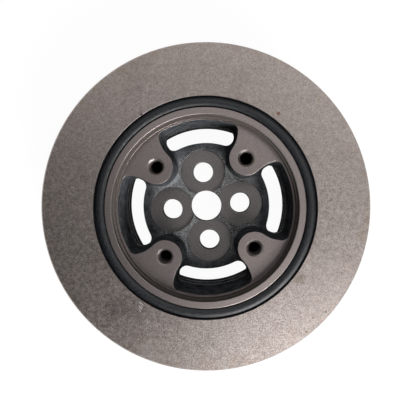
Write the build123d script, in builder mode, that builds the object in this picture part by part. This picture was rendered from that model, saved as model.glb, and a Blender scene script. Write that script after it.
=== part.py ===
"""Harmonic balancer: a cast hub, a bonded rubber ring and a cast inertia ring.

Millimetres, +Z up. The balancer lies on its back: its front face, where the pulley bolts on, looks up.
The origin is the centre of the hub's rear end, on the plane that it stands on. One crank bolt hole lies
on +X, and the pads lie half way between the crank bolt holes.
"""

from build123d import *
from math import cos, hypot, radians, sin, sqrt, tan
import os

os.makedirs("parts", exist_ok=True)

# ---- Driving dimensions ----

# Hub outside
hub_diameter = 123.0
hub_depth = 58.0
hub_tail_step = 1.0
hub_rim_chamfer = 0.4
hub_tail_chamfer = 1.5

# Rubber, moulded between hub and ring, and crowned at both ends
rubber_width = 6.5
rubber_recess = 1.6
rubber_crown = 1.3

# Inertia ring
ring_diameter = 200.0
ring_thickness = 42.0
ring_outer_chamfer = 0.8
ring_bore_chamfer = 0.4

# Stepped recess turned in the hub's front: a lead-in, then the pulley's pilot, then the pads' face
rim_width = 4.5
lead_in_depth = 4.5
lead_in_ledge = 1.0
pad_depth = 9.5
pad_ledge = 1.15

# Cup cast between the pads, down to the web
cup_depth = 36.5
cup_draft_angle = 3.0
cup_floor_fillet = 2.5
cup_corner_spare = 0.3

# Pads with tapped holes for the pulley
pad_count = 4
pad_circle_diameter = 80.0
pad_boss_radius = 10.6
pad_flank_radius = 20.7
pad_half_angle = 18.1
tap_drill_diameter = 8.5
tap_drill_depth = 28.0
countersink_diameter = 10.8
countersink_angle = 90.0
drill_point_angle = 118.0

# Web that bolts to the crankshaft's nose
web_thickness = 11.5
crank_seat_diameter = 74.0
crank_seat_relief = 1.5
centre_hole_diameter = 20.5
crank_hole_count = 4
crank_circle_diameter = 46.0
crank_hole_diameter = 13.5
spotface_diameter = 30.0
spotface_depth = 2.3

# Windows cast through the web, and the spokes left between them under the pads
window_lap = 0.3
window_width = 11.3
window_corner_radius = 5.0
spoke_half_angle = 17.25

# ---- Heights and radii worked out from them ----

front_face = hub_depth
ring_back = front_face - ring_thickness
lead_in_floor = front_face - lead_in_depth
pad_face = front_face - pad_depth
cup_floor = front_face - cup_depth
crank_seat = cup_floor - web_thickness
web_back = crank_seat + crank_seat_relief
spotface_floor = cup_floor - spotface_depth
tap_drill_floor = pad_face - tap_drill_depth

hub_radius = hub_diameter / 2
hub_tail_radius = hub_radius - hub_tail_step
ring_bore_radius = hub_radius + rubber_width
lead_in_radius = hub_radius - rim_width
pilot_radius = lead_in_radius - lead_in_ledge
cup_radius = pilot_radius - pad_ledge
cup_draft = (pad_face - cup_floor) * tan(radians(cup_draft_angle))
cup_corner_radius = cup_draft + cup_floor_fillet + cup_corner_spare
window_mouth = cup_floor + cup_floor_fillet + window_lap
window_outer_radius = cup_radius - (pad_face - window_mouth) * tan(radians(cup_draft_angle))
window_inner_radius = window_outer_radius - window_width
first_pad_angle = 180 / pad_count
window_half_angle = first_pad_angle - spoke_half_angle


def polar_point(radius, angle):
    """The point at this radius and this angle in degrees, in a sketch's own plane."""
    return (radius * cos(radians(angle)), radius * sin(radians(angle)))


def pad_touch_point(boss_x, wall_point):
    """Where a pad's hollow flank touches its round boss.

    The flank's centre is both radii away from the boss and one flank radius away from the wall point.
    """
    reach_x = wall_point[0] - boss_x
    reach_y = wall_point[1]
    reach = hypot(reach_x, reach_y)
    both_radii = pad_boss_radius + pad_flank_radius
    along = (both_radii**2 - pad_flank_radius**2 + reach**2) / (2 * reach)
    aside = sqrt(both_radii**2 - along**2)
    centre_x = (along * reach_x - aside * reach_y) / reach
    centre_y = (along * reach_y + aside * reach_x) / reach
    share = pad_boss_radius / both_radii
    return (boss_x + share * centre_x, share * centre_y)


# ---- Inertia ring ----

with BuildPart() as inertia_ring:
    with BuildSketch(Plane.XY.offset(ring_back)):
        Circle(ring_diameter / 2)
        Circle(ring_bore_radius, mode=Mode.SUBTRACT)
    extrude(amount=ring_thickness)
    end_circles = inertia_ring.edges().filter_by(GeomType.CIRCLE).sort_by(SortBy.RADIUS)
    chamfer(end_circles[:2], ring_bore_chamfer)
    chamfer(end_circles[-2:], ring_outer_chamfer)
inertia_ring.part.label = "inertia_ring"

# ---- Rubber ring ----

with BuildPart() as rubber_ring:
    with BuildSketch(Plane.XZ):
        front_crease = front_face - rubber_recess
        back_crease = ring_back + rubber_recess
        crown_radius = hub_radius + rubber_width / 2
        with BuildLine():
            Line((hub_radius, back_crease), (hub_radius, front_crease))
            ThreePointArc(
                (hub_radius, front_crease),
                (crown_radius, front_crease + rubber_crown),
                (ring_bore_radius, front_crease),
            )
            Line((ring_bore_radius, front_crease), (ring_bore_radius, back_crease))
            ThreePointArc(
                (ring_bore_radius, back_crease),
                (crown_radius, back_crease - rubber_crown),
                (hub_radius, back_crease),
            )
        make_face()
    revolve(axis=Axis.Z)
rubber_ring.part.label = "rubber_ring"

# ---- Hub ----

# One pad seen from the front, with its boss on the X axis and its root past the cup wall
with BuildSketch() as pad_outline:
    boss_x = pad_circle_diameter / 2
    wall_point = polar_point(cup_radius, pad_half_angle)
    touch_point = pad_touch_point(boss_x, wall_point)
    with BuildLine() as pad_edge:
        ThreePointArc((touch_point[0], -touch_point[1]), (boss_x - pad_boss_radius, 0), touch_point)
        RadiusArc(touch_point, wall_point, -pad_flank_radius)
        Line(wall_point, (lead_in_radius, wall_point[1]))
        Line((lead_in_radius, wall_point[1]), (lead_in_radius, 0))
        mirror(pad_edge.edges()[1:], about=Plane.XZ)
    make_face()

# One window seen from the front, on the X axis
with BuildSketch() as window_outline:
    inner_start = polar_point(window_inner_radius, -window_half_angle)
    inner_end = polar_point(window_inner_radius, window_half_angle)
    outer_start = polar_point(window_outer_radius, -window_half_angle)
    outer_end = polar_point(window_outer_radius, window_half_angle)
    with BuildLine():
        RadiusArc(inner_start, inner_end, -window_inner_radius)
        Line(inner_end, outer_end)
        RadiusArc(outer_end, outer_start, window_outer_radius)
        Line(outer_start, inner_start)
    make_face()
    fillet(window_outline.vertices(), window_corner_radius)

with BuildPart() as hub:
    # Turned outside, stepped recess in front and open tail behind, round a solid middle
    with BuildSketch(Plane.XZ):
        with BuildLine():
            Polyline(
                (0, crank_seat),
                (crank_seat_diameter / 2, crank_seat),
                (crank_seat_diameter / 2, web_back),
                (window_outer_radius, web_back),
                (window_outer_radius, 0),
                (hub_tail_radius, 0),
                (hub_tail_radius, ring_back),
                (hub_radius, ring_back),
                (hub_radius, front_face),
                (lead_in_radius, front_face),
                (lead_in_radius, lead_in_floor),
                (pilot_radius, lead_in_floor),
                (pilot_radius, pad_face),
                (0, pad_face),
                close=True,
            )
        make_face()
    revolve(axis=Axis.Z)
    turned_edges = hub.edges().filter_by(GeomType.CIRCLE).group_by(Axis.Z)
    chamfer(turned_edges[-1], hub_rim_chamfer)
    chamfer(turned_edges[0].sort_by(SortBy.RADIUS)[-1], hub_tail_chamfer)

    # Cup, drafted from the pads down to the web, with a cast radius round its floor
    with BuildSketch(Plane.XY.offset(pad_face)) as cup_mouth:
        Circle(cup_radius)
        with PolarLocations(0, pad_count, start_angle=first_pad_angle):
            add(pad_outline.sketch, mode=Mode.SUBTRACT)
        fillet(cup_mouth.vertices().group_by(SortBy.DISTANCE)[-1], cup_corner_radius)
    extrude(amount=cup_floor - pad_face, taper=cup_draft_angle, mode=Mode.SUBTRACT)
    floor_edges = hub.edges().filter_by_position(Axis.Z, cup_floor, cup_floor)
    fillet(floor_edges, cup_floor_fillet)

    # Windows, whose outer side meets the cup wall just above the floor radius and runs on into the tail
    with BuildSketch(Plane.XY.offset(web_back)):
        with PolarLocations(0, pad_count):
            add(window_outline.sketch)
    extrude(amount=window_mouth + window_lap - web_back, mode=Mode.SUBTRACT)

    # Spotfaces, crank bolt holes and centre hole
    with BuildSketch(Plane.XY.offset(spotface_floor)):
        with PolarLocations(crank_circle_diameter / 2, crank_hole_count):
            Circle(spotface_diameter / 2)
    extrude(amount=spotface_depth, mode=Mode.SUBTRACT)
    with BuildSketch(Plane.XY.offset(crank_seat)):
        Circle(centre_hole_diameter / 2)
        with PolarLocations(crank_circle_diameter / 2, crank_hole_count):
            Circle(crank_hole_diameter / 2)
    extrude(amount=web_thickness, mode=Mode.SUBTRACT)

    # Tapping holes, drilled to a point and countersunk
    with Locations(Plane.XY.offset(pad_face)):
        with PolarLocations(boss_x, pad_count, start_angle=first_pad_angle):
            CounterSinkHole(
                tap_drill_diameter / 2,
                countersink_diameter / 2,
                depth=tap_drill_depth,
                counter_sink_angle=countersink_angle,
            )
    with Locations(Plane.XY.offset(tap_drill_floor)):
        with PolarLocations(boss_x, pad_count, start_angle=first_pad_angle):
            Cone(
                0,
                tap_drill_diameter / 2,
                tap_drill_diameter / 2 / tan(radians(drill_point_angle / 2)),
                align=(Align.CENTER, Align.CENTER, Align.MAX),
                mode=Mode.SUBTRACT,
            )
hub.part.label = "hub"

export_step(hub.part, "parts/hub.step")
export_step(rubber_ring.part, "parts/rubber_ring.step")
export_step(inertia_ring.part, "parts/inertia_ring.step")
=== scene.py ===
"""Harmonic balancer: finishes, tapped threads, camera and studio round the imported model.

Metres, +Z up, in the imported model's frame: the balancer lies on its back and its front face looks up.
"""

from math import cos, radians, sin, tau

import bmesh
import bpy
from mathutils import Matrix, Vector


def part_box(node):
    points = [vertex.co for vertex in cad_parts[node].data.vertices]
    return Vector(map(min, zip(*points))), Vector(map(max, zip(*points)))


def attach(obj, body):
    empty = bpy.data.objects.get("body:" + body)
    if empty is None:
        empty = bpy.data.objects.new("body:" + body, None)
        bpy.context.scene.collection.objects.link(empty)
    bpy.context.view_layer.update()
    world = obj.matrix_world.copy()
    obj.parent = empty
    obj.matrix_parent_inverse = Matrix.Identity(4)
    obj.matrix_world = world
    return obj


MM = 0.001

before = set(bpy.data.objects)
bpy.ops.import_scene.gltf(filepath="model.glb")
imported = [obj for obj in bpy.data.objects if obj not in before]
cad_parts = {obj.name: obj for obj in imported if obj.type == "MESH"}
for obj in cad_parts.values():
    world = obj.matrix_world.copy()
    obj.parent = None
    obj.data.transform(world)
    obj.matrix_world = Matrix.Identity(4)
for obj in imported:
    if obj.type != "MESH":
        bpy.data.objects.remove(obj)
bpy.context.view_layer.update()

# ---- Places on the balancer that the finishes and threads follow ----

FRONT_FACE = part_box("hub")[1].z
RING_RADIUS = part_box("inertia_ring")[1].x
RING_BORE_RADIUS = 68.0 * MM
HUB_RADIUS = 61.5 * MM
PAD_FACE = FRONT_FACE - 9.5 * MM
CUP_FLOOR = FRONT_FACE - 36.5 * MM
SPOTFACE_FLOOR = CUP_FLOOR - 2.3 * MM
CRANK_SEAT = 10.0 * MM
CRANK_CIRCLE_RADIUS = 23.0 * MM
PAD_COUNT = 4
FIRST_PAD_ANGLE = 45.0
PAD_CIRCLE_RADIUS = 40.0 * MM
TAP_DRILL_RADIUS = 4.25 * MM
TAP_DRILL_DEPTH = 28.0 * MM
DRILL_POINT_DEPTH = 2.55 * MM
COUNTERSINK_RADIUS = 5.4 * MM
COUNTERSINK_DEPTH = 1.15 * MM

# ---- Node and colour helpers ----


def linear(hex_colour):
    """An sRGB hex colour as a linear RGBA value."""
    colour = []
    for start in (1, 3, 5):
        channel = int(hex_colour[start : start + 2], 16) / 255
        if channel <= 0.04045:
            colour.append(channel / 12.92)
        else:
            colour.append(((channel + 0.055) / 1.055) ** 2.4)
    return (*colour, 1.0)


def add(tree, kind, inputs=None, **settings):
    """Adds a node, sets its settings, and gives each named input a value or links it to a socket.

    Inputs that share a name go by number. A Mix node takes its share at 0, then two numbers at 2 and 3,
    two vectors at 4 and 5 or two colours at 6 and 7, and gives them at outputs 0, 1 and 2.
    """
    node = tree.nodes.new(kind)
    for name, value in settings.items():
        setattr(node, name, value)
    for name, value in (inputs or {}).items():
        if isinstance(value, bpy.types.NodeSocket):
            tree.links.new(value, node.inputs[name])
        else:
            node.inputs[name].default_value = value
    return node


def new_material(name):
    """A material whose node tree is empty."""
    material = bpy.data.materials.new(name)
    material.use_nodes = True
    material.node_tree.nodes.clear()
    return material


def dress(node_name, material):
    """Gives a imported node's every slot this material."""
    for material_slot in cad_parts[node_name].material_slots:
        material_slot.material = material


# ---- Where a finish applies: shares from 0 to 1 ----

# How soon one finish gives way to the next, and how far from its plane a level face's finish reaches
EDGE = 0.1 * MM
FACE_BAND = 0.2 * MM


def nearness(tree, value, target, width):
    """1 where a value lies at its target, falling to 0 a width away."""
    offset = add(
        tree, "ShaderNodeMath", {0: value, 1: target}, operation="SUBTRACT"
    ).outputs[0]
    distance = add(tree, "ShaderNodeMath", {0: offset}, operation="ABSOLUTE").outputs[0]
    return add(
        tree,
        "ShaderNodeMapRange",
        {"Value": distance, "From Min": width, "From Max": width / 2},
    ).outputs["Result"]


def either(tree, *shares):
    """The largest of several shares."""
    largest = shares[0]
    for share in shares[1:]:
        largest = add(
            tree, "ShaderNodeMath", {0: largest, 1: share}, operation="MAXIMUM"
        ).outputs[0]
    return largest


def distance_from_axis(tree, place):
    """A point's distance from the balancer's axis."""
    level_place = add(
        tree, "ShaderNodeVectorMath", {0: place, 1: (1, 1, 0)}, operation="MULTIPLY"
    ).outputs["Vector"]
    return add(
        tree, "ShaderNodeVectorMath", {0: level_place}, operation="LENGTH"
    ).outputs["Value"]


def mark_share(tree, place, ragged, direction, distance, height, size):
    """How far a point lies inside a ragged round mark on a level face."""
    middle = Vector((distance * cos(radians(direction)), distance * sin(radians(direction)), 0)) * MM
    middle.z = height
    reach = add(
        tree, "ShaderNodeVectorMath", {0: place, 1: middle}, operation="DISTANCE"
    ).outputs["Value"]
    # Where the noise is at its middle, a half, the mark is full to 0.4 of its size and ends at 1.2
    pulled = add(
        tree,
        "ShaderNodeMath",
        {0: ragged, 1: 1.2 * size * MM, 2: reach},
        operation="MULTIPLY_ADD",
    ).outputs[0]
    return add(
        tree,
        "ShaderNodeMapRange",
        {"Value": pulled, "From Min": 1.8 * size * MM, "From Max": 1.0 * size * MM},
    ).outputs["Result"]


# ---- Inertia ring's finish ----

# How far the rubber's smear runs onto the front, and how wide the outer band is that rusts first
BORE_SMEAR = 0.5 * MM
RUST_BAND = 16 * MM

# Where the flakes stand out most, as coarser relief and as painted glints where the key lamps'
# highlight falls, and the distances from there over which they fade to the usual
COARSE_GLINT_MIDDLE = Vector((14 * MM, -82 * MM, FRONT_FACE))
COARSE_GLINT_CORE = 10 * MM
COARSE_GLINT_REACH = 65 * MM

# Rust, stains, pits and scrapes on the front: name, direction in degrees, distance from the axis and
# size in millimetres, colour, and strength
RING_MARKS = (
    ("rust_spot", 47, 72.2, 1.3, "#7c4a30", 0.8),
    ("bore_nick", 118.5, 68.6, 0.8, "#2a1c18", 0.9),
    ("pale_scrape", 230.4, 70.8, 1.2, "#d8d2cd", 0.35),
    ("pit_right", 314, 97.0, 0.7, "#3b3a34", 0.8),
    ("pit_bottom", 304, 97.6, 0.8, "#5b563c", 0.8),
    ("pit_middle", 309, 93.6, 0.6, "#4c463c", 0.6),
    ("olive_stain", 318, 71.8, 4.2, "#6a6050", 0.45),
    ("upper_stain", 113, 83.0, 2.2, "#5d5552", 0.3),
    ("lower_stain", 223, 80.0, 9.0, "#5f5754", 0.35),
    ("bore_stain", 231, 74.0, 9.0, "#5f5754", 0.25),
    ("rubbed_edge", 243, 96.0, 9.0, "#dcd4cf", 0.22),
)

# Scratches beside the rubber: both ends in millimetres across the front
SCRATCHES = (
    ((-45.4, -53.2), (-43.3, -55.4)),
    ((-46.4, -55.2), (-44.6, -57.6)),
    ((-44.9, -55.6), (-44.2, -56.5)),
    ((-46.3, -57.3), (-45.4, -59.2)),
)
SCRATCH_WIDTH = 0.35 * MM


def scratch_share(tree, place, start, end):
    """1 on a scratch across the ring's front, falling to 0 beside it."""
    start_point = Vector((*start, 0)) * MM
    start_point.z = FRONT_FACE
    run = (Vector(end) - Vector(start)).to_3d() * MM
    offset = add(
        tree, "ShaderNodeVectorMath", {0: place, 1: start_point}, operation="SUBTRACT"
    ).outputs["Vector"]
    along = add(
        tree,
        "ShaderNodeVectorMath",
        {0: offset, 1: run / run.length_squared},
        operation="DOT_PRODUCT",
    ).outputs["Value"]
    nearest = add(tree, "ShaderNodeMapRange", {"Value": along}).outputs["Result"]
    nearest_point = add(
        tree, "ShaderNodeVectorMath", {0: run, "Scale": nearest}, operation="SCALE"
    ).outputs["Vector"]
    aside = add(
        tree, "ShaderNodeVectorMath", {0: offset, 1: nearest_point}, operation="DISTANCE"
    ).outputs["Value"]
    return add(
        tree,
        "ShaderNodeMapRange",
        {"Value": aside, "From Min": SCRATCH_WIDTH, "From Max": SCRATCH_WIDTH / 2},
    ).outputs["Result"]


def turned_grey_iron():
    """Grey cast iron, turned flat and left bare.

    Dull taupe, finely mottled by its graphite, with stains and the first rust.
    """
    material = new_material("turned_grey_iron")
    tree = material.node_tree
    place = add(tree, "ShaderNodeTexCoord").outputs["Object"]
    radius = distance_from_axis(tree, place)

    # Graphite flakes of about 0.1 mm are drawn at 0.6 mm, so that the mottle shows
    flakes = add(
        tree,
        "ShaderNodeTexNoise",
        {"Vector": place, "Scale": 1 / (0.6 * MM), "Detail": 2.0, "Roughness": 0.7},
    ).outputs["Fac"]
    mottle = add(
        tree,
        "ShaderNodeTexNoise",
        {"Vector": place, "Scale": 1 / (2.4 * MM), "Detail": 4.0, "Roughness": 0.6},
    ).outputs["Fac"]

    # The flakes stand out most low on the front: their relief is coarser there, and their colour
    # speckle is stronger as painted glints where the key lamps' highlight falls
    coarse_glint_distance = add(
        tree, "ShaderNodeVectorMath", {0: place, 1: COARSE_GLINT_MIDDLE}, operation="DISTANCE"
    ).outputs["Value"]
    coarseness_and_glints = add(
        tree,
        "ShaderNodeMapRange",
        {
            "Value": coarse_glint_distance,
            "From Min": COARSE_GLINT_REACH,
            "From Max": COARSE_GLINT_CORE,
            "To Min": 1.35,
            "To Max": 3.6,
        },
    ).outputs["Result"]
    flake_offset = add(
        tree, "ShaderNodeMath", {0: flakes, 1: 0.5}, operation="SUBTRACT"
    ).outputs[0]
    faint_mottle = add(
        tree, "ShaderNodeMapRange", {"Value": mottle, "To Min": 0.22, "To Max": 0.78}
    ).outputs["Result"]
    grain = add(
        tree,
        "ShaderNodeMath",
        {0: flake_offset, 1: coarseness_and_glints, 2: faint_mottle},
        operation="MULTIPLY_ADD",
    ).outputs[0]
    grain_share = add(
        tree, "ShaderNodeMapRange", {"Value": grain, "From Min": 0.2, "From Max": 0.8}
    ).outputs["Result"]
    colour = add(
        tree,
        "ShaderNodeMix",
        {0: grain_share, 6: linear("#8c817d"), 7: linear("#bfb5b0")},
        data_type="RGBA",
    ).outputs[2]

    # Handling stains in drifts
    drifts = add(
        tree,
        "ShaderNodeTexNoise",
        {"Vector": place, "Scale": 1 / (13 * MM), "Detail": 4.0, "Roughness": 0.6, "Distortion": 0.8},
    ).outputs["Fac"]
    stained = add(
        tree,
        "ShaderNodeMapRange",
        {"Value": drifts, "From Min": 0.5, "From Max": 0.72, "To Max": 0.24},
    ).outputs["Result"]

    # Thin brown bloom of rust towards the outer edge
    rust_band = add(
        tree,
        "ShaderNodeMapRange",
        {"Value": radius, "From Min": RING_RADIUS - RUST_BAND, "From Max": RING_RADIUS},
    ).outputs["Result"]
    bloom = add(
        tree,
        "ShaderNodeTexNoise",
        {"Vector": place, "Scale": 1 / (7 * MM), "Detail": 5.0, "Roughness": 0.65},
    ).outputs["Fac"]
    bloom_share = add(
        tree,
        "ShaderNodeMapRange",
        {"Value": bloom, "From Min": 0.48, "From Max": 0.75, "To Max": 0.38},
    ).outputs["Result"]
    rusted = add(
        tree, "ShaderNodeMath", {0: rust_band, 1: bloom_share}, operation="MULTIPLY"
    ).outputs[0]

    # Rubber smeared over the bore's edge when it was moulded
    smeared = add(
        tree,
        "ShaderNodeMapRange",
        {
            "Value": radius,
            "From Min": RING_BORE_RADIUS + BORE_SMEAR,
            "From Max": RING_BORE_RADIUS + EDGE,
        },
    ).outputs["Result"]

    # Each layer covers those before it by its share
    layers = [
        ("handling_stains", stained, "#7c726d"),
        ("rust_bloom", rusted, "#a58a6c"),
        ("rubber_smear", smeared, "#1c1c1e"),
    ]
    for name, direction, distance, size, shade, strength in RING_MARKS:
        inside = mark_share(tree, place, flakes, direction, distance, FRONT_FACE, size)
        marked = add(
            tree, "ShaderNodeMath", {0: inside, 1: strength}, operation="MULTIPLY"
        ).outputs[0]
        layers.append((name, marked, shade))
    for start, end in SCRATCHES:
        layers.append(("scratch", scratch_share(tree, place, start, end), "#e4deda"))
    for name, share, shade in layers:
        colour = add(
            tree,
            "ShaderNodeMix",
            {0: share, 6: colour, 7: linear(shade)},
            data_type="RGBA",
            label=name,
        ).outputs[2]

    # The lathe's feed of about 0.2 mm is drawn at 0.7 mm on the round sides, so that it shows
    height = add(tree, "ShaderNodeSeparateXYZ", {"Vector": place}).outputs["Z"]
    feed_phase = add(
        tree, "ShaderNodeMath", {0: height, 1: tau / (0.7 * MM)}, operation="MULTIPLY"
    ).outputs[0]
    feed = add(tree, "ShaderNodeMath", {0: feed_phase}, operation="SINE").outputs[0]
    relief = add(
        tree, "ShaderNodeMath", {0: feed, 1: 0.12, 2: grain}, operation="MULTIPLY_ADD"
    ).outputs[0]
    bump = add(
        tree,
        "ShaderNodeBump",
        {"Height": relief, "Strength": 0.4, "Distance": 0.06 * MM},
    ).outputs["Normal"]
    roughness = add(
        tree,
        "ShaderNodeMapRange",
        {"Value": mottle, "From Min": 0.3, "From Max": 0.7, "To Min": 0.36, "To Max": 0.44},
    ).outputs["Result"]
    shader = add(
        tree,
        "ShaderNodeBsdfPrincipled",
        {"Base Color": colour, "Metallic": 1.0, "Roughness": roughness, "Normal": bump},
    )
    add(tree, "ShaderNodeOutputMaterial", {"Surface": shader.outputs["BSDF"]})
    return material


# ---- Hub's finish ----

# How far in from the hub's outside all is turned, and how far the rubber's smear runs onto the rim
OUTSIDE_BAND = 3.0 * MM
RIM_SMEAR = 0.3 * MM

# The web's speckle, lightened as a painted sheen: how far it reaches up the floor's radius, and the
# distances from the axis over which it fades towards the wall into the darker skin, as painted shade
WEB_BAND = 1.5 * MM
SHEEN_FULL_RADIUS = 33 * MM
WALL_SHADE_RADIUS = 39 * MM

# A pale painted sheen, the lamp's reflection on the web, between two spotfaces and a pad's foot:
# direction in degrees, distance from the axis and size in millimetres, and strength
SHEEN_PATCH = (135, 29, 6)
SHEEN_PATCH_STRENGTH = 0.26


def hub_areas(tree, folded, height, radius):
    """Where the hub is turned, spotfaced, smeared, countersunk, tapped, or a wall of its recess; the
    recess's walls and the tapped bores are darkened as painted shade.

    Every quarter of the hub is alike, so a hole is found from the point folded into the first quarter.
    """
    # A countersink's cone, and the tapped bore under it down to the drill's point
    tap_side = PAD_CIRCLE_RADIUS * cos(radians(FIRST_PAD_ANGLE))
    tap_distance = add(
        tree,
        "ShaderNodeVectorMath",
        {0: folded, 1: (tap_side, tap_side, 0)},
        operation="DISTANCE",
    ).outputs["Value"]
    in_countersink = add(
        tree,
        "ShaderNodeMapRange",
        {
            "Value": tap_distance,
            "From Min": COUNTERSINK_RADIUS + EDGE,
            "From Max": COUNTERSINK_RADIUS,
        },
    ).outputs["Result"]
    at_countersink = nearness(tree, height, PAD_FACE, 2 * COUNTERSINK_DEPTH)
    countersunk = add(
        tree, "ShaderNodeMath", {0: in_countersink, 1: at_countersink}, operation="MULTIPLY"
    ).outputs[0]
    in_drilling = add(
        tree,
        "ShaderNodeMapRange",
        {
            "Value": tap_distance,
            "From Min": TAP_DRILL_RADIUS + 2 * EDGE,
            "From Max": TAP_DRILL_RADIUS + EDGE,
        },
    ).outputs["Result"]
    drilling_end = PAD_FACE - TAP_DRILL_DEPTH - DRILL_POINT_DEPTH
    above_drilling_end = add(
        tree,
        "ShaderNodeMapRange",
        {"Value": height, "From Min": drilling_end - EDGE, "From Max": drilling_end},
    ).outputs["Result"]
    tapped = add(
        tree, "ShaderNodeMath", {0: in_drilling, 1: above_drilling_end}, operation="MULTIPLY"
    ).outputs[0]

    # Turned: all from the pads up, the round outside, the crank seat and the countersinks
    pads_up = add(
        tree,
        "ShaderNodeMapRange",
        {"Value": height, "From Min": PAD_FACE - EDGE, "From Max": PAD_FACE - EDGE / 2},
    ).outputs["Result"]
    outside = add(
        tree,
        "ShaderNodeMapRange",
        {
            "Value": radius,
            "From Min": HUB_RADIUS - OUTSIDE_BAND,
            "From Max": HUB_RADIUS - OUTSIDE_BAND + EDGE,
        },
    ).outputs["Result"]
    crank_seat = nearness(tree, height, CRANK_SEAT, FACE_BAND)
    turned = either(tree, pads_up, outside, crank_seat, countersunk)
    spotfaced = nearness(tree, height, SPOTFACE_FLOOR, FACE_BAND)

    # Rubber smeared over the rim's outer edge when it was moulded
    smeared = add(
        tree,
        "ShaderNodeMapRange",
        {
            "Value": radius,
            "From Min": HUB_RADIUS - RIM_SMEAR,
            "From Max": HUB_RADIUS - RIM_SMEAR / 2,
        },
    ).outputs["Result"]

    # The walls of the stepped recess, between the rim and the pads, which are coloured darker as
    # painted shade
    below_rim = add(
        tree,
        "ShaderNodeMapRange",
        {"Value": height, "From Min": FRONT_FACE - EDGE, "From Max": FRONT_FACE - 2 * EDGE},
    ).outputs["Result"]
    above_pads = add(
        tree,
        "ShaderNodeMapRange",
        {"Value": height, "From Min": PAD_FACE + EDGE, "From Max": PAD_FACE + 2 * EDGE},
    ).outputs["Result"]
    at_walls = add(
        tree, "ShaderNodeMath", {0: below_rim, 1: above_pads}, operation="MULTIPLY"
    ).outputs[0]
    not_smeared = add(
        tree, "ShaderNodeMath", {0: 1.0, 1: smeared}, operation="SUBTRACT"
    ).outputs[0]
    shaded_recess_wall = add(
        tree, "ShaderNodeMath", {0: at_walls, 1: not_smeared}, operation="MULTIPLY"
    ).outputs[0]
    return turned, spotfaced, smeared, countersunk, tapped, shaded_recess_wall


def cast_skin(tree, place, height, radius):
    """The colour and the relief of iron left as the sand mould cast it."""
    # Moulding sand of about 0.3 mm is drawn at 0.9 mm, so that the cast skin looks rough
    sand = add(
        tree,
        "ShaderNodeTexNoise",
        {"Vector": place, "Scale": 1 / (0.9 * MM), "Detail": 3.0, "Roughness": 0.7},
    ).outputs["Fac"]
    patches = add(
        tree,
        "ShaderNodeTexNoise",
        {"Vector": place, "Scale": 1 / (6 * MM), "Detail": 4.0, "Roughness": 0.6},
    ).outputs["Fac"]
    relief = add(
        tree, "ShaderNodeMath", {0: sand, 1: 0.6, 2: patches}, operation="MULTIPLY_ADD"
    ).outputs[0]
    skin_share = add(
        tree, "ShaderNodeMapRange", {"Value": relief, "From Min": 0.6, "From Max": 1.0}
    ).outputs["Result"]
    skin = add(
        tree,
        "ShaderNodeMix",
        {0: skin_share, 6: linear("#2b2d30"), 7: linear("#5d5f62")},
        data_type="RGBA",
    ).outputs[2]

    # The web's sand speckle is lightened as a painted sheen, and fades into the darker skin towards the
    # wall as painted shade
    web_height = nearness(tree, height, CUP_FLOOR, WEB_BAND)
    clear_of_wall_shade = add(
        tree,
        "ShaderNodeMapRange",
        {"Value": radius, "From Min": WALL_SHADE_RADIUS, "From Max": SHEEN_FULL_RADIUS},
    ).outputs["Result"]
    web = add(
        tree, "ShaderNodeMath", {0: web_height, 1: clear_of_wall_shade}, operation="MULTIPLY"
    ).outputs[0]
    speckle = add(
        tree, "ShaderNodeMath", {0: sand, 1: 2.2, 2: patches}, operation="MULTIPLY_ADD"
    ).outputs[0]
    speckle_share = add(
        tree, "ShaderNodeMapRange", {"Value": speckle, "From Min": 1.2, "From Max": 2.0}
    ).outputs["Result"]
    speckle_and_sheen = add(
        tree,
        "ShaderNodeMix",
        {0: speckle_share, 6: linear("#2a2929"), 7: linear("#9fa0a1")},
        data_type="RGBA",
    ).outputs[2]
    skin = add(
        tree, "ShaderNodeMix", {0: web, 6: skin, 7: speckle_and_sheen}, data_type="RGBA"
    ).outputs[2]

    # Lightens the web in one patch as a painted sheen of the lamp
    direction, distance, size = SHEEN_PATCH
    in_sheen_patch = mark_share(tree, place, sand, direction, distance, CUP_FLOOR, size)
    dust_and_sheen_share = add(
        tree, "ShaderNodeMath", {0: in_sheen_patch, 1: SHEEN_PATCH_STRENGTH}, operation="MULTIPLY"
    ).outputs[0]
    skin = add(
        tree,
        "ShaderNodeMix",
        {0: dust_and_sheen_share, 6: skin, 7: linear("#aeb3b7")},
        data_type="RGBA",
    ).outputs[2]
    return skin, relief


def spotface_colour(tree, folded, flake_share):
    """The colour of the iron under the crank bolts, ringed by the tool that cut it."""
    # Tool marks of about 0.2 mm are drawn at 1.5 mm, so that the rings show
    distances = [
        add(
            tree, "ShaderNodeVectorMath", {0: folded, 1: middle}, operation="DISTANCE"
        ).outputs["Value"]
        for middle in ((CRANK_CIRCLE_RADIUS, 0, 0), (0, CRANK_CIRCLE_RADIUS, 0))
    ]
    distance = add(
        tree, "ShaderNodeMath", {0: distances[0], 1: distances[1]}, operation="MINIMUM"
    ).outputs[0]
    ring_phase = add(
        tree, "ShaderNodeMath", {0: distance, 1: tau / (1.5 * MM)}, operation="MULTIPLY"
    ).outputs[0]
    rings = add(tree, "ShaderNodeMath", {0: ring_phase}, operation="SINE").outputs[0]
    share = add(
        tree, "ShaderNodeMath", {0: rings, 1: 0.1, 2: flake_share}, operation="MULTIPLY_ADD"
    ).outputs[0]
    return add(
        tree,
        "ShaderNodeMix",
        {0: share, 6: linear("#757070"), 7: linear("#a59f9f")},
        data_type="RGBA",
    ).outputs[2]


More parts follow.
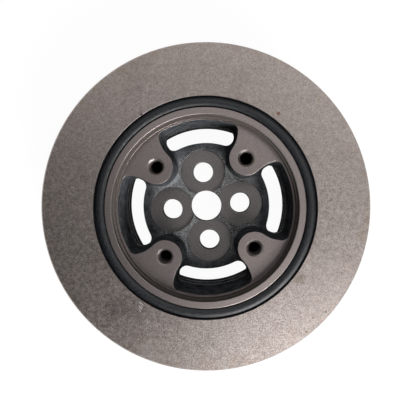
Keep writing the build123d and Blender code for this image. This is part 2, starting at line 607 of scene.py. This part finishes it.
def cast_and_turned_grey_iron():
    """Grey cast iron, turned where the pulley seats and left as cast elsewhere.

    Turned faces are taupe with a fine mottle; the cast skin is dark, dull and rough from the sand.
    """
    material = new_material("cast_and_turned_grey_iron")
    tree = material.node_tree
    place = add(tree, "ShaderNodeTexCoord").outputs["Object"]
    height = add(tree, "ShaderNodeSeparateXYZ", {"Vector": place}).outputs["Z"]
    radius = distance_from_axis(tree, place)
    level_place = add(
        tree, "ShaderNodeVectorMath", {0: place, 1: (1, 1, 0)}, operation="MULTIPLY"
    ).outputs["Vector"]
    folded = add(
        tree, "ShaderNodeVectorMath", {0: level_place}, operation="ABSOLUTE"
    ).outputs["Vector"]
    turned, spotfaced, smeared, countersunk, tapped, shaded_recess_wall = hub_areas(
        tree, folded, height, radius
    )
    skin, relief = cast_skin(tree, place, height, radius)

    # Graphite flakes of about 0.1 mm are drawn at 0.7 mm, so that the turned faces look mottled
    flakes = add(
        tree,
        "ShaderNodeTexNoise",
        {"Vector": place, "Scale": 1 / (0.7 * MM), "Detail": 3.0, "Roughness": 0.6},
    ).outputs["Fac"]
    flake_share = add(
        tree, "ShaderNodeMapRange", {"Value": flakes, "From Min": 0.1, "From Max": 0.9}
    ).outputs["Result"]
    turned_colour = add(
        tree,
        "ShaderNodeMix",
        {0: flake_share, 6: linear("#827977"), 7: linear("#b8aca9")},
        data_type="RGBA",
    ).outputs[2]

    # Each layer covers those before it by its share
    colour = skin
    for name, share, shade in (
        ("spotfaces", spotfaced, spotface_colour(tree, folded, flake_share)),
        ("turned_faces", turned, turned_colour),
        # The recess's walls are darkened as painted shade
        ("recess_walls_painted_shade", shaded_recess_wall, linear("#5f5955")),
        ("rubber_smear", smeared, linear("#1c1c1e")),
        ("countersinks", countersunk, linear("#c9c1bd")),
        # The tapped bores are coloured darker than the turned iron as painted shade
        ("tapped_bores_painted_shade", tapped, linear("#5d5754")),
    ):
        colour = add(
            tree,
            "ShaderNodeMix",
            {0: share, 6: colour, 7: shade},
            data_type="RGBA",
            label=name,
        ).outputs[2]

    # The recess's walls, darkened as painted shade, stay as dull as the cast skin, which has no sheen
    # at all
    cut = either(tree, turned, spotfaced)
    bare_metal = add(
        tree, "ShaderNodeMath", {0: cut, 1: shaded_recess_wall}, operation="SUBTRACT"
    ).outputs[0]
    roughness = add(
        tree, "ShaderNodeMapRange", {"Value": bare_metal, "To Min": 0.6, "To Max": 0.37}
    ).outputs["Result"]
    roughness = add(
        tree,
        "ShaderNodeMix",
        {0: countersunk, 2: roughness, 3: 0.3},
        data_type="FLOAT",
    ).outputs[0]

    # Edges are worn round, but for the countersinks, which are cut sharp
    worn_edges = add(tree, "ShaderNodeBevel", {"Radius": 0.45 * MM}, samples=4)
    sharp_edges = add(tree, "ShaderNodeNewGeometry")
    edges = add(
        tree,
        "ShaderNodeMix",
        {0: countersunk, 4: worn_edges.outputs["Normal"], 5: sharp_edges.outputs["Normal"]},
        data_type="VECTOR",
    ).outputs[1]
    bump_strength = add(
        tree, "ShaderNodeMapRange", {"Value": bare_metal, "To Min": 1.0, "To Max": 0.08}
    ).outputs["Result"]
    bump = add(
        tree,
        "ShaderNodeBump",
        {"Height": relief, "Strength": bump_strength, "Distance": 0.3 * MM, "Normal": edges},
    ).outputs["Normal"]
    shader = add(
        tree,
        "ShaderNodeBsdfPrincipled",
        {
            "Base Color": colour,
            "Metallic": bare_metal,
            "Roughness": roughness,
            "Specular IOR Level": 0.0,
            "Normal": bump,
        },
    )
    add(tree, "ShaderNodeOutputMaterial", {"Surface": shader.outputs["BSDF"]})
    return material


# ---- Rubber's finish ----


def moulded_rubber():
    """Nitrile rubber, moulded smooth.

    Blue-black, with a soft sheen along its crown and a little dust.
    """
    material = new_material("moulded_rubber")
    tree = material.node_tree
    place = add(tree, "ShaderNodeTexCoord").outputs["Object"]

    # Dust specks of about 0.1 mm are drawn at 1.2 mm, so that they show
    dust = add(
        tree,
        "ShaderNodeTexNoise",
        {"Vector": place, "Scale": 1 / (1.2 * MM), "Detail": 4.0, "Roughness": 0.75},
    ).outputs["Fac"]
    dust_and_sheen_share = add(
        tree, "ShaderNodeMapRange", {"Value": dust, "From Min": 0.42, "From Max": 0.72}
    ).outputs["Result"]
    colour = add(
        tree,
        "ShaderNodeMix",
        {0: dust_and_sheen_share, 6: linear("#07090c"), 7: linear("#23262b")},
        data_type="RGBA",
    ).outputs[2]
    bump = add(
        tree,
        "ShaderNodeBump",
        {"Height": dust, "Strength": 0.8, "Distance": 0.2 * MM},
    ).outputs["Normal"]
    roughness = add(
        tree, "ShaderNodeMapRange", {"Value": dust_and_sheen_share, "To Min": 0.34, "To Max": 0.56}
    ).outputs["Result"]
    shader = add(
        tree,
        "ShaderNodeBsdfPrincipled",
        {"Base Color": colour, "Roughness": roughness, "IOR": 1.52, "Normal": bump},
    )
    add(tree, "ShaderNodeOutputMaterial", {"Surface": shader.outputs["BSDF"]})
    return material


# ---- Tapped threads ----

# M10 x 1.5: the ridge's pitch, its rise out of the wall, its root's depth in it, and half its width at
# the root and at the crest
THREAD_PITCH = 1.5 * MM
THREAD_RISE = 0.35 * MM
THREAD_ROOT = 0.05 * MM
THREAD_FLANK = 0.6 * MM
THREAD_CREST = 0.1 * MM
THREAD_TURNS = 12
STEPS_PER_TURN = 40
SECTION_CORNERS = 4


def tapped_thread(number, material):
    """The thread's ridge, wound down the wall of one tapping hole."""
    angle = radians(FIRST_PAD_ANGLE + 360 / PAD_COUNT * number)
    axis = Vector((PAD_CIRCLE_RADIUS * cos(angle), PAD_CIRCLE_RADIUS * sin(angle), 0))
    top = PAD_FACE - COUNTERSINK_DEPTH - THREAD_FLANK
    last_step = THREAD_TURNS * STEPS_PER_TURN
    mesh = bmesh.new()
    rings = []
    for step in range(last_step + 1):
        turn = tau * step / STEPS_PER_TURN
        # The ridge runs out into the wall over half a turn at each end
        fullness = min(1, 2 * step / STEPS_PER_TURN, 2 * (last_step - step) / STEPS_PER_TURN)
        height = top - THREAD_PITCH * step / STEPS_PER_TURN
        root_radius = TAP_DRILL_RADIUS + THREAD_ROOT
        crest_radius = TAP_DRILL_RADIUS - THREAD_RISE * fullness
        section = (
            (root_radius, THREAD_FLANK),
            (crest_radius, THREAD_CREST),
            (crest_radius, -THREAD_CREST),
            (root_radius, -THREAD_FLANK),
        )
        ring = []
        for radius, rise in section:
            point = Vector((radius * cos(turn), radius * sin(turn), height + rise))
            ring.append(mesh.verts.new(axis + point))
        rings.append(ring)
    for upper, lower in zip(rings, rings[1:]):
        for side in range(SECTION_CORNERS):
            following = (side + 1) % SECTION_CORNERS
            mesh.faces.new((upper[side], lower[side], lower[following], upper[following]))
    mesh.faces.new(rings[0])
    mesh.faces.new(rings[-1][::-1])
    bmesh.ops.recalc_face_normals(mesh, faces=mesh.faces)
    data = bpy.data.meshes.new(f"pulley_thread_{number + 1}")
    mesh.to_mesh(data)
    mesh.free()
    piece = bpy.data.objects.new(data.name, data)
    bpy.context.collection.objects.link(piece)
    data.materials.append(material)
    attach(piece, "root")


hub_finish = cast_and_turned_grey_iron()
dress("hub", hub_finish)
dress("rubber_ring", moulded_rubber())
dress("inertia_ring", turned_grey_iron())
for hole in range(PAD_COUNT):
    tapped_thread(hole, hub_finish)

# ---- Camera ----

# The lens is in millimetres, for the usual 36 mm sensor
CAMERA_PLACE = Vector((8.5, 16.0, 391.5)) * MM
CAMERA_AIM = Vector((1.8, 0.3, 58.0)) * MM
CAMERA_TURN = radians(-5.5)
CAMERA_LENS = 47.65


def make_camera():
    """Looks down on the front face, from a little off its axis."""
    data = bpy.data.cameras.new("camera")
    data.lens = CAMERA_LENS
    camera = bpy.data.objects.new("camera", data)
    forward = (CAMERA_AIM - CAMERA_PLACE).normalized()
    level = Vector((cos(CAMERA_TURN), sin(CAMERA_TURN), 0))
    right = (level - level.dot(forward) * forward).normalized()
    up = right.cross(forward)
    axes = Matrix((right, up, -forward)).transposed().to_4x4()
    camera.matrix_world = Matrix.Translation(CAMERA_PLACE) @ axes
    bpy.context.collection.objects.link(camera)
    bpy.context.scene.camera = camera


# ---- Studio ----

# The floor lies just under the balancer, and its glow and the lamps' light on it add up to about white
FLOOR_SIZE = 6.0
FLOOR_DROP = 0.2 * MM
FLOOR_GLOW = 0.955

# Heights in the world, from 0 level to 1 straight up: the walls' top, the ceiling's edge, and the two
# between which the white background fades from what a finish reflects
WALL_TOP = 0.3
CEILING_EDGE = 0.7
MIRRORED_LOW = 0.1
MIRRORED_TOP = 0.25

LAMP_DISTANCE = 1.25

# Each soft box: name, direction round the balancer and tilt from straight above in degrees, width in
# metres, and power in watts
LAMPS = (
    ("key", -66, 32, 0.45, 2.1),
    ("low_key", -67, 58, 0.8, 21.0),
    ("rear_fill", 98, 31, 0.9, 2.5),
    ("right_fill", 27, 32, 0.7, 2.2),
)


def background_rays(tree, mirrored):
    """1 for rays that see the white background, and this share for rays that a finish reflects."""
    rays = add(tree, "ShaderNodeLightPath")
    direct = add(
        tree,
        "ShaderNodeMath",
        {0: rays.outputs["Is Camera Ray"], 1: rays.outputs["Is Transmission Ray"]},
        operation="MAXIMUM",
    ).outputs[0]
    reflected = add(
        tree,
        "ShaderNodeMath",
        {0: rays.outputs["Is Glossy Ray"], 1: mirrored},
        operation="MULTIPLY",
    ).outputs[0]
    return add(
        tree, "ShaderNodeMath", {0: direct, 1: reflected}, operation="MAXIMUM"
    ).outputs[0]


def make_floor():
    """A pale floor that looks white and keeps a light shadow."""
    mesh = bpy.data.meshes.new("floor")
    half = FLOOR_SIZE / 2
    sides = ((-half, -half), (half, -half), (half, half), (-half, half))
    corners = [(x, y, -FLOOR_DROP) for x, y in sides]
    mesh.from_pydata(corners, [], [(0, 1, 2, 3)])
    floor = bpy.data.objects.new("floor", mesh)
    bpy.context.collection.objects.link(floor)
    material = new_material("pale_floor")
    tree = material.node_tree
    # Light bounces off a matt grey, while the eye and a finish see a white glow, under a dark coat that
    # keeps the shadow
    seen = background_rays(tree, 1.0)
    matt = add(tree, "ShaderNodeBsdfDiffuse", {"Color": linear("#a8a8a8")})
    shade = add(tree, "ShaderNodeBsdfDiffuse", {"Color": linear("#4d4d4d")})
    glow = add(tree, "ShaderNodeEmission", {"Color": linear("#ffffff"), "Strength": FLOOR_GLOW})
    lit = add(tree, "ShaderNodeAddShader", {0: shade.outputs[0], 1: glow.outputs[0]})
    surface = add(
        tree, "ShaderNodeMixShader", {0: seen, 1: matt.outputs[0], 2: lit.outputs[0]}
    )
    add(tree, "ShaderNodeOutputMaterial", {"Surface": surface.outputs[0]})
    mesh.materials.append(material)


def make_lamps():
    """Soft boxes round the balancer, each turned to the middle of its front."""
    middle = Vector((0, 0, FRONT_FACE))
    for name, direction, tilt, width, power in LAMPS:
        data = bpy.data.lights.new(name, "AREA")
        data.shape = "SQUARE"
        data.size = width
        data.energy = power
        lamp = bpy.data.objects.new(name, data)
        reach = LAMP_DISTANCE * sin(radians(tilt))
        rise = LAMP_DISTANCE * cos(radians(tilt))
        offset = Vector((reach * cos(radians(direction)), reach * sin(radians(direction)), rise))
        lamp.location = middle + offset
        lamp.rotation_euler = offset.to_track_quat("Z", "Y").to_euler()
        bpy.context.collection.objects.link(lamp)


def make_world():
    """Grey walls round a dark ceiling, and the white background past the floor."""
    world = bpy.data.worlds.new("studio")
    world.use_nodes = True
    tree = world.node_tree
    tree.nodes.clear()
    way = add(tree, "ShaderNodeTexCoord").outputs["Generated"]
    rise = add(tree, "ShaderNodeSeparateXYZ", {"Vector": way}).outputs["Z"]
    ceiling = add(
        tree,
        "ShaderNodeMapRange",
        {"Value": rise, "From Min": WALL_TOP, "From Max": CEILING_EDGE},
        interpolation_type="SMOOTHSTEP",
    ).outputs["Result"]
    studio = add(
        tree,
        "ShaderNodeMix",
        {0: ceiling, 6: linear("#595959"), 7: linear("#2e2e2e")},
        data_type="RGBA",
    ).outputs[2]
    # A finish reflects the background only low down, beside the floor
    low = add(
        tree,
        "ShaderNodeMapRange",
        {"Value": rise, "From Min": MIRRORED_TOP, "From Max": MIRRORED_LOW},
    ).outputs["Result"]
    seen = background_rays(tree, low)
    colour = add(
        tree,
        "ShaderNodeMix",
        {0: seen, 6: studio, 7: linear("#f8f8f8")},
        data_type="RGBA",
    ).outputs[2]
    light = add(tree, "ShaderNodeBackground", {"Color": colour, "Strength": 1.0})
    add(tree, "ShaderNodeOutputWorld", {"Surface": light.outputs["Background"]})
    bpy.context.scene.world = world


make_camera()
make_floor()
make_lamps()
make_world()
bpy.context.scene.view_settings.view_transform = "Standard"
